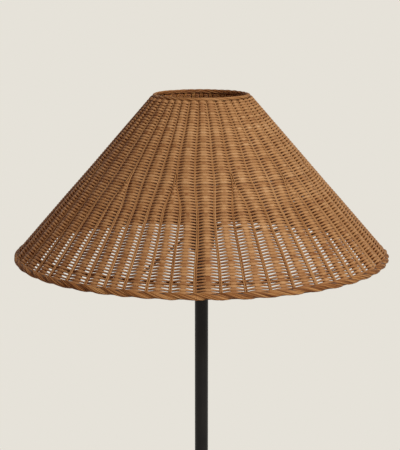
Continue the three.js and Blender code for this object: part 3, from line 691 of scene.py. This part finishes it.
share = np.concatenate([arm_ends, arm_middle, 1 - arm_ends[::-1]])
reach = arm_start + (hoop_radius - wire_hoop + weld_bite - arm_start) * share
drop = ring_height + (hoop_height - ring_height) * share
to_weld = np.minimum(share, 1 - share) * float(np.hypot(hoop_radius, ring_height - hoop_height))
girth = 2 * wire_arm + weld_swell * np.exp(-(to_weld / weld_length) ** 2)
out = np.tile([0.0, 0.0, 1.0], (1, len(share), 1))
for number, turn in enumerate(arm_turns, start=1):
    path = np.column_stack([reach * math.cos(turn), reach * math.sin(turn), drop])
    mesh = strands(f"welded_arm_{number}", path[None], out, girth, girth, sides=wire_sides)
    show(mesh, "shade", brown_paint, "brown_wire", f"spider_arm_{number}")


# The stakes of the shade. Pairs of thin rattan rods run down the cone from the upper border to the
# lower one. Every second pair shows in front of the weavers. In each of twelve sectors one showing
# pair parts a little above the middle, and a bent rod with a new hidden pair fills the space.
sectors = 12
sector_first = math.radians(15 - 90)
sector_slips = np.radians([-0.4, -0.8, 0.6, -0.7, 0.9, -0.5, 0.4, -0.8, 0.3, 2.6, 5.0, 1.2])
stakes_in_sector = 8
stake_count = sectors * stakes_in_sector
lower_places = np.arange(1, stakes_in_sector + 1) / stakes_in_sector
upper_places = np.array([0, 1 / 6, 2 / 6, 3 / 6, 4 / 6, 5 / 6, 1, 1])
split_share = 0.59
spread_share = 0.40
border_lower = {"width": 0.011, "height": 0.0115}
border_upper = {"width": 0.007, "height": 0.0065}
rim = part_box("shade_lower_border")[1]
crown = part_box("shade_upper_border")[1]
cone_foot = np.array([rim.x - border_lower["width"] / 2, shade_foot + border_lower["height"] / 2])
cone_head = np.array([crown.x - border_upper["width"] / 2, crown.z - border_upper["height"] / 2])
slant = float(np.linalg.norm(cone_head - cone_foot))
# A rod's width runs from low at the foot to high at the neck. Its depth and a showing rod's lift
# do so over the closing share, below which gaps are left between the rows.
showing_rod = {"low": 0.0026, "high": 0.0011}
hidden_rod = {"low": 0.0030, "high": 0.0021}
showing_depth = {"low": 0.0046, "high": 0.0013}
hidden_depth = {"low": 0.0060, "high": 0.0026}
showing_lift = {"low": -0.0006, "high": 0.0006}
hidden_lift = -0.0012
closing_share = (0.34, 0.46)
stake_wander = 0.0007
wander_waves = np.array([5.0, 11.0, 19.0])
stake_twist = math.radians(1.5)
stake_steps = 44
stake_gap = 0.004
stake_tint = (0.35, 0.85)
added_top = split_share - 0.03
hairpin_bend = 0.0032
hairpin_stand = 0.95
hairpin_crowd = 0.7
hairpin_rise = {"from": split_share - 0.10, "over": 0.06}
cane_gloss = 0.12
fibre_stretch = (30, 1400, 60)
blotch_stretch = (14, 60, 60)
shade_weights = {"tint": 0.55, "blotch": 0.9, "fibre": 0.55}
shade_start = -0.52
dark_to_middle = (0.1, 0.5)
middle_to_pale = (0.5, 0.95)
cane_rough = (0.42, 0.68)
fibre_relief = {"strength": 0.35, "height": 0.0002}
random = np.random.default_rng(7)
wander_phase = random.uniform(0, 2 * math.pi, (stake_count, 3))
wander_size = random.normal(0, stake_wander, (stake_count, 3))


def cone_radius(share):
    """Radius of the wall's middle, which shrinks evenly from the lower border to the upper one."""
    return cone_foot[0] + (cone_head[0] - cone_foot[0]) * share


def on_cone(turn, share, out):
    """A point of the cone: turn round the Z axis, share of the way up the slant, and a distance
    out along the normal. Returns the points and the unit normals there."""
    share, out = (np.broadcast_to(value, turn.shape) for value in (share, out))
    run, rise = (cone_head - cone_foot) / slant
    normal = np.stack([np.cos(turn) * rise, np.sin(turn) * rise, np.full_like(turn, -run)], -1)
    radius = cone_radius(share)
    height = cone_foot[1] + (cone_head[1] - cone_foot[1]) * share
    middle = np.stack([np.cos(turn) * radius, np.sin(turn) * radius, height], -1)
    return middle + normal * out[..., None], normal


def smooth(x):
    """Runs from 0 at 0 to 1 at 1 with level ends: 3 x squared less 2 x cubed."""
    x = np.clip(x, 0, 1)
    return x * x * (3 - 2 * x)


def parted(share):
    """How far the pairs have parted: 0 above the split, 1 below the spread."""
    return smooth((split_share - share) / (split_share - spread_share))


def sector_turn(passed):
    """Turn after so many sectors, counted from the first one; their edges slip a little."""
    edge = np.arange(-sectors, 2 * sectors + 1)
    turns = sector_first + edge * 2 * math.pi / sectors + sector_slips[edge % sectors]
    return np.interp(passed, edge, turns)


def twist(share):
    """The stakes lean a little to one side: most at the foot, less as the share's square grows."""
    return stake_twist * (1 - np.asarray(share) ** 2)


def size_at(size, share):
    """A size that runs evenly from low, where share is 0, to high, where it is 1."""
    return size["low"] + (size["high"] - size["low"]) * share


def waves(stake, share):
    """Three slow sine waves along the slant, which make a stake wander to either side."""
    k = stake % stake_count
    phase = wander_phase[k] + np.asarray(share)[..., None] * wander_waves
    return (wander_size[k] * np.sin(phase)).sum(-1) / cone_radius(share)


def stake_turn(stake, share):
    """Turn of a stake's middle. Its place in its sector goes from the upper one to the lower one
    as the pairs part. Above the split a parting stake is one rod of the pair, half a rod's width
    from the sector's edge, and it wanders with that pair."""
    stake = np.broadcast_to(stake, np.shape(share))
    sector, place = np.divmod(stake, stakes_in_sector)
    open_share = parted(share)
    side = 1 * (place == 0) - 1 * (place == stakes_in_sector - 2)
    half = size_at(showing_rod, share) / 2 / cone_radius(share)
    at = upper_places[place] * (1 - open_share) + lower_places[place] * open_share
    wander = (waves(stake - side, share) + side * half) * (1 - open_share)
    wander = wander + waves(stake, share) * open_share
    return sector_turn(sector + at) + twist(share) + wander


def cane_fibre_group():
    """Rattan. The shade is the sum of the tint attribute, slow blotches and fine fibres along the
    rod, each times its weight. It picks a colour from dark over middle to pale. The group gives
    the colour, the roughness and the height of the fibres."""
    group = node_group(
        "cane_fibre", {"Dark": "Color", "Middle": "Color", "Pale": "Color"},
        {"Colour": "Color", "Roughness": "Float", "Height": "Float"},
    )
    given = add(group, "NodeGroupInput", {})
    tint = add(group, "ShaderNodeAttribute", {}, attribute_name="tint")["Fac"]
    grain = add(group, "ShaderNodeUVMap", {}, uv_map="grain")["UV"]
    split = add(group, "ShaderNodeSeparateXYZ", {0: grain})
    spread = {"X": split["X"], "Y": split["Y"], "Z": tint}
    spread = add(group, "ShaderNodeCombineXYZ", spread)[0]

    def noise(stretch, detail):
        """A noise that is stretched along the rod."""
        place = add(group, "ShaderNodeMapping", {"Vector": spread, "Scale": stretch})[0]
        sockets = {"Vector": place, "Scale": 1, "Detail": detail}
        return add(group, "ShaderNodeTexNoise", sockets)["Fac"]

    fibre = noise(fibre_stretch, 3)
    shade = shade_start
    parts = {"tint": tint, "blotch": noise(blotch_stretch, 2), "fibre": fibre}
    for name, part in parts.items():
        sockets = {0: part, 1: shade_weights[name], 2: shade}
        shade = add(group, "ShaderNodeMath", sockets, operation="MULTIPLY_ADD")[0]
    colour = given["Dark"]
    for label, ends in (("Middle", dark_to_middle), ("Pale", middle_to_pale)):
        colour = blended(group, ranged(group, shade, *ends), colour, given[label])
    rough = ranged(group, fibre, 0, 1, cane_rough)
    add(group, "NodeGroupOutput", {"Colour": colour, "Roughness": rough, "Height": fibre})
    return group


cane_fibre = cane_fibre_group()


def cane_material(name, dark, middle, pale):
    """Rattan with its own three colours and a fine relief of fibres."""
    material = bpy.data.materials.new(name)
    material.use_nodes = True
    tree = material.node_tree
    colours = {"Dark": (*dark, 1), "Middle": (*middle, 1), "Pale": (*pale, 1)}
    fibres = add(tree, "ShaderNodeGroup", colours, node_tree=cane_fibre)
    bump = {"Strength": fibre_relief["strength"], "Distance": fibre_relief["height"]}
    bump["Height"] = fibres["Height"]
    fill(tree, tree.nodes["Principled BSDF"], {
        "Specular IOR Level": cane_gloss,
        "Base Color": fibres["Colour"],
        "Roughness": fibres["Roughness"],
        "Normal": add(tree, "ShaderNodeBump", bump)["Normal"],
    })
    return material


stake_cane = cane_material(
    "stake_cane", dark=(0.17, 0.060, 0.018), middle=(0.36, 0.182, 0.068), pale=(0.53, 0.32, 0.15)
)
hidden_cane = cane_material(
    "hidden_stake_cane", dark=(0.17, 0.06, 0.018), middle=(0.33, 0.145, 0.046),
    pale=(0.47, 0.25, 0.095),
)
stake_share = np.linspace(0.0, 1 - stake_gap / slant, stake_steps)
added_share = np.linspace(0.0, added_top, stake_steps)


def shut_at(share):
    """0 near the foot, where gaps are left between the rows, and 1 above, where they are shut."""
    return smooth((share - closing_share[0]) / (closing_share[1] - closing_share[0]))


def stake_pairs(stakes, share, rod, lift):
    """Two rods side by side for each stake, lifted out from the wall's middle."""
    wide = size_at(rod, share)
    turn = np.stack([stake_turn(stake, share) for stake in stakes])
    sides = np.array([-0.5, 0.5])[None, :, None] * wide / cone_radius(share)
    turn = (turn[:, None] + sides).reshape(-1, len(share))
    path, out = on_cone(turn, share, lift)
    return path, out, wide


def show_stakes(name, path, out, wide, thick, cane=stake_cane):
    """The rods of one kind of stake, each with a shade of its own."""
    tint = random.uniform(*stake_tint, (len(path), 1))
    show(strands(name, path, out, wide, thick, tint), "shade", cane, "rattan")


def showing_lifts(share):
    """How far the rods of a showing stake lie out from the wall's middle."""
    return size_at(showing_lift, shut_at(share))


def parting_rods():
    """The two rods of a parting pair. Above the split they lie side by side, below it each
    follows its own branch, always on the side away from the new stake."""
    share = stake_share
    wide = size_at(showing_rod, share)
    shift = wide / 2 / cone_radius(share) * parted(share)
    left = [stake_turn(k, share) - shift for k in parting]
    right = [stake_turn(k + 2, share) + shift for k in parting]
    path, out = on_cone(np.stack(left + right), share, showing_lifts(share))
    return path, out, wide


def hairpins():
    """Bent rods. Each leg follows a branch on the side of the new stake. Near the split the legs
    rise on to the parting pair, and they meet above it in a half circle that lies on the pair."""
    top = split_share + hairpin_bend / slant
    leg = top * np.linspace(0.0, 1.0, stake_steps) ** hairpin_crowd
    share = np.concatenate([leg, leg[::-1]])
    over = np.clip((share - split_share) * slant / hairpin_bend, 0, 1)
    bend = np.sqrt(1 - over**2)
    wide = size_at(showing_rod, share)
    half = (wide / 2 / cone_radius(share))[:stake_steps] * parted(leg)
    thick = size_at(showing_depth, shut_at(share))
    rise = smooth((share - hairpin_rise["from"]) / hairpin_rise["over"])
    lift = showing_lifts(share) + thick * hairpin_stand * rise
    sign = np.repeat([-1.0, 1.0], stake_steps)
    turns = []
    for k in parting:
        middle = stake_turn(k + 1, share)
        legs = [stake_turn(k, leg) + half, (stake_turn(k + 2, leg) - half)[::-1]]
        apart = np.abs(np.concatenate(legs) - middle)
        apart = np.maximum(apart, hairpin_bend / 2 / cone_radius(share))
        turns.append(middle + sign * apart * bend)
    path, out = on_cone(np.stack(turns), share, lift)
    return path, out, wide, thick


every = np.arange(stake_count)
place = every % stakes_in_sector
showing = every[np.isin(place, [2, 4])]
hidden = every[np.isin(place, [1, 3, 5])]
parting = every[place == 6]
added = every[place == 7]
showing_thick = size_at(showing_depth, shut_at(stake_share))
pairs = stake_pairs(showing, stake_share, showing_rod, showing_lifts(stake_share))
show_stakes("showing_stakes", *pairs, showing_thick)
for name, stakes, share in (("hidden", hidden, stake_share), ("added", added, added_share)):
    pairs = stake_pairs(stakes, share, hidden_rod, hidden_lift)
    thick = size_at(hidden_depth, shut_at(share))
    show_stakes(f"{name}_stakes", *pairs, thick, hidden_cane)
show_stakes("parting_stakes", *parting_rods(), showing_thick)
show_stakes("hairpin_stakes", *hairpins())


# The weavers. Thin canes wind round and round the stakes from the rim to the neck. With an even
# number of stakes each turn passes them on the same sides as the turn below, so the stakes that
# are covered stand out as columns.
weaver_turns = 68
pitch_growth = 0.01
weaver_before = {"low": 0.0053, "high": 0.0050}
weaver_behind = {"low": 0.0026, "high": 0.0030}
before_thick = {"low": 0.0038, "high": 0.0044}
behind_thick = {"low": 0.0038, "high": 0.0042}
before_lift = {"low": 0.0023, "high": 0.0017}
behind_lift = {"low": -0.0010, "high": -0.0009}
behind_round = {"low": 1.0, "high": 0.35}
showing_cover = {"low": 0.10, "high": 0.14}
hidden_cover = {"low": 0.14, "high": 0.30}
taper = {"low": 2.4, "high": 3.4}
# Painted shade on the weavers: how far the cane's tint is darkened near the foot, on its inner
# side, and on its edges in the crevices behind a stake.
foot_painted_shade = 0.12
inner_painted_shade = 0.3
edge_painted_shade = 0.8
tight_rows = 0.6
weave_start = -0.0006
weave_end = 0.993
weave_top = 0.981
steps_between_stakes = np.array([0, 0.14, 0.27, 0.5, 0.73, 0.86])
weaver_sides = 8
weaver_pieces = 4
jitters_in_row = 4
row_wander = 0.00015
cane_length = 2.4
cane_count = 200
cane_tint = (0.38, 0.62)
mean_row = 1.3
weaver_cane = cane_material(
    "weaver_cane", dark=(0.15, 0.034, 0.005), middle=(0.45, 0.245, 0.102), pale=(0.62, 0.405, 0.215)
)


def side_of(stake, share):
    """1 where the weavers pass outside a stake and -1 inside. An added stake changes from -1,
    where it is still part of the showing pair, to 1 in the first third of the parting."""
    place = stake % stakes_in_sector
    fixed = np.where(place % 2 == 1, 1.0, -1.0)
    return np.where(place == stakes_in_sector - 1, 2 * smooth(parted(share) * 3) - 1, fixed)


def winding(first_turn, last_turn):
    """One cane wound from first_turn to last_turn of all turns. It climbs a little faster with
    each row, and its last row is held level at weave_top. It steps from stake to stake: its turn
    lies between theirs, and its distance from the wall's middle swings from one side of a stake
    to the other. Near each stake it runs level for its cover, a share of the way between two
    stakes. It is wide over a hidden stake. Beside it the width falls off as a power, the taper,
    to a narrow cane behind the showing stake, so that pointed gaps open there. Only the first
    row keeps its width all round. Above the gaps the cane is thicker, and boxier behind a stake,
    so the rows close. Painted shade darkens the cane on its inner side, on its upper and lower
    edges behind a stake, in the crevices between the rows, and near the foot."""
    steps = len(steps_between_stakes)
    in_turn = stake_count * steps
    stake, part = np.divmod(np.arange(first_turn * in_turn, last_turn * in_turn + 1), steps)
    part = steps_between_stakes[part]
    rows = (stake + part) / stake_count
    stake = stake % stake_count
    passed = rows / weaver_turns
    share = weave_start + (weave_end - weave_start) * passed * (1 - pitch_growth * (1 - passed))
    jitter = np.interp(rows, np.arange(len(row_jitter)) / jitters_in_row, row_jitter)
    share = np.minimum(share + jitter / slant, weave_top)
    here = stake_turn(stake, share)
    there = stake_turn(stake + 1, share)
    turn = here + (there - here) * part
    side_here = side_of(stake, share)
    side_there = side_of(stake + 1, share)
    covers = size_at(hidden_cover, share), size_at(showing_cover, share)
    cover_here = np.where(side_here > 0, *covers)
    cover_there = np.where(side_there > 0, *covers)
    even = np.clip((part - cover_here) / (1 - cover_here - cover_there), 0, 1)
    shut = shut_at(share)

    def mixed(behind, before, height, front):
        """A size that runs from that of the cane behind a stake to that before it."""
        return size_at(behind, height) * (1 - front) + size_at(before, height) * front

    swing = (side_here + (side_there - side_here) * smooth(even) + 1) / 2
    path, out = on_cone(turn, share, mixed(behind_lift, before_lift, shut, swing))
    front = ((side_here + (side_there - side_here) * even + 1) / 2) ** size_at(taper, share)
    front = np.maximum(front, 1 - smooth(rows - tight_rows))
    wide = mixed(weaver_behind, weaver_before, share, front)
    thick = mixed(behind_thick, before_thick, shut, front)
    corners = size_at(behind_round, shut) * (1 - front) + front
    angle = np.arange(weaver_sides) * 2 * math.pi / weaver_sides
    # Painted shade: the tint is lowered on the inner side, on the upper and lower edges behind a
    # stake, and towards the foot.
    painted_shade = inner_painted_shade * np.maximum(-np.sin(angle), 0)
    painted_shade = painted_shade + edge_painted_shade * (1 - front)[:, None] * np.cos(angle) ** 4
    painted_shade = painted_shade + foot_painted_shade * (1 - smooth(share / closing_share[1]))[:, None]
    return [part[None] for part in (path, out, wide, thick, corners, painted_shade)]


row_jitter = random.normal(0, row_wander, weaver_turns * jitters_in_row + 1)
cane_tints = random.uniform(*cane_tint, cane_count)
stages = np.linspace(0, weaver_turns, weaver_pieces + 1).astype(int)
for number, (first, last) in enumerate(zip(stages[:-1], stages[1:]), start=1):
    path, out, wide, thick, corners, painted_shade = winding(first, last)
    run = np.linalg.norm(np.diff(path, axis=1, prepend=path[:, :1]), axis=-1).cumsum(1)
    cane = ((run + first * mean_row) / cane_length).astype(int) % cane_count
    # The painted shade is taken off each cane's tint.
    mesh = strands(f"weavers_{number}", path, out, wide, thick,
                   cane_tints[cane][..., None] - painted_shade, weaver_sides, round_share=corners)
    replaced = ["shade_weave"] if number == 1 else []
    show(mesh, "shade", weaver_cane, "rattan", *replaced)


# The binding. A flat strip of cane is wound round the hoop inside the rim, each turn beside the
# last, so that the wire is covered.
binding_turns = 520
binding_steps = 8
binding_strip = {"wide": 0.0031, "thick": 0.0003}
# Painted light: the strip is paler than the weavers, to offset the shade it lies in behind them.
binding_painted_light = 0.8
binding_shades = 0.15
short_wave = 7
long_wave = 31
turn, path, out = circle(hoop_radius, hoop_height, binding_turns * binding_steps)
around = turn * binding_turns
out = out * np.cos(around)[:, None] + np.sin(around)[:, None] * [0, 0, 1]
path = path + out * (wire_hoop + binding_strip["thick"] / 2)
# The painted light lifts the strip's tint; the slow waves vary it.
tint = binding_painted_light + binding_shades * np.sin(around / short_wave) * np.sin(around / long_wave)
mesh = strands("hoop_binding", path[None], out[None], binding_strip["wide"],
               binding_strip["thick"], tint, sides=4, closed=True)
show(mesh, "shade", weaver_cane, "rattan")


# The rolled borders. The ends of the stakes are laid over one another round the rim, and again
# round the neck, a bundle for each showing pair, so a border looks like a thick rope with a lobe
# at each bundle. It is rolled round a core that fills it, coloured dark brown as painted shade
# inside the roll.
border_cane = cane_material(
    "border_cane", dark=(0.10, 0.032, 0.010), middle=(0.31, 0.136, 0.044), pale=(0.60, 0.36, 0.15)
)
# The core stands for the rod ends packed inside the roll; its dark brown is painted shade for the
# inside of the roll.
border_core_painted_shade = finish(
    "border_core_painted_shade", (0.045, 0.018, 0.008), (0.085, 0.036, 0.015), (0.6, 0.8), size=0.0008,
    relief=0.4,
)
bundle_width = 0.95
bundle_shift = 0.08
bundle_pinch = 0.25
bundle_wander = 0.02
angle_wander = 0.05
# Painted shade: how much darker the border rods are on the inner side of the roll.
border_painted_shade = 0.6
border_steps = 36
border_sides = 8
core_steps = 240
core_sides = 10
lower_rods = {
    "lobes": 48, "in_lobe": 7, "wide": 0.0021, "thick": 0.0021, "spread": 1.7, "swell": 0.0018,
    "start": 150, "end": -150, "tint": (0, 0.9), "core": {"width": 0.0056, "height": 0.0088},
}
upper_rods = {
    "lobes": 36, "in_lobe": 3, "wide": 0.0018, "thick": 0.0016, "spread": 5.0, "swell": 0.0011,
    "start": 170, "end": -190, "tint": (0.2, 0.8), "core": {"width": 0.0042, "height": 0.0038},
}


def rolled_border(name, centre, size, rods, lean, cane):
    """Rods that wrap an oval core, a bundle for each lobe. Along a rod the turn grows by spread
    lobes while it goes round the core from the angle start to the angle end. The rods of a bundle
    draw together towards both ends, and its outer rods lie deeper than the middle ones by swell,
    and each by up to a sixth of a rod more. Lean turns the whole border, as the stakes lean. The
    rods are darker on the inner side of the roll, which is painted shade."""
    t = np.linspace(0, 1, border_steps)
    bundle, number = np.divmod(np.arange(rods["lobes"] * rods["in_lobe"]), rods["in_lobe"])
    count = len(bundle)
    place = ((number + 0.5) / rods["in_lobe"] - 0.5)[:, None]
    fan = bundle_width * (bundle_pinch + (1 - bundle_pinch) * np.sin(math.pi * t))
    begin = (bundle + bundle_shift + random.normal(0, bundle_wander, count))[:, None]
    along = begin + place * fan + (t - 0.5) * rods["spread"]
    turn = sector_turn(along * sectors / rods["lobes"]) + lean
    start, end = np.radians([rods["start"], rods["end"]])
    angle = start + (end - start) * t + random.normal(0, angle_wander, (count, 1))
    depth = rods["swell"] * (2 * place) ** 2 + random.uniform(0, rods["thick"] / 6, (count, 1))
    across = size["width"] / 2 - rods["thick"] / 2 - depth
    tall = size["height"] / 2 - rods["thick"] / 2 - depth
    radius = centre[0] + across * np.cos(angle)
    height = centre[1] + tall * np.sin(angle)
    path = np.stack([radius * np.cos(turn), radius * np.sin(turn), height], -1)
    out = np.stack([np.cos(angle) * np.cos(turn), np.cos(angle) * np.sin(turn), np.sin(angle)], -1)
    # Painted shade darkens the rods on the inner side of the roll.
    tint = random.uniform(*rods["tint"], (count, 1)) - border_painted_shade * smooth(-np.cos(angle))
    mesh = strands(name, path, out, rods["wide"], rods["thick"], tint, border_sides)
    show(mesh, "shade", cane, "rattan_dark", f"shade_{name}")
    # The core, dark brown as painted shade inside the roll.
    turn, path, out = circle(*centre, core_steps)
    core = rods["core"]
    mesh = strands(f"{name}_core", path[None], out[None], core["height"], core["width"],
                   sides=core_sides, closed=True)
    show(mesh, "shade", border_core_painted_shade, "rattan_dark")


rolled_border("lower_border", cone_foot, border_lower, lower_rods, twist(0), border_cane)
rolled_border("upper_border", cone_head, border_upper, upper_rods, 0, stake_cane)
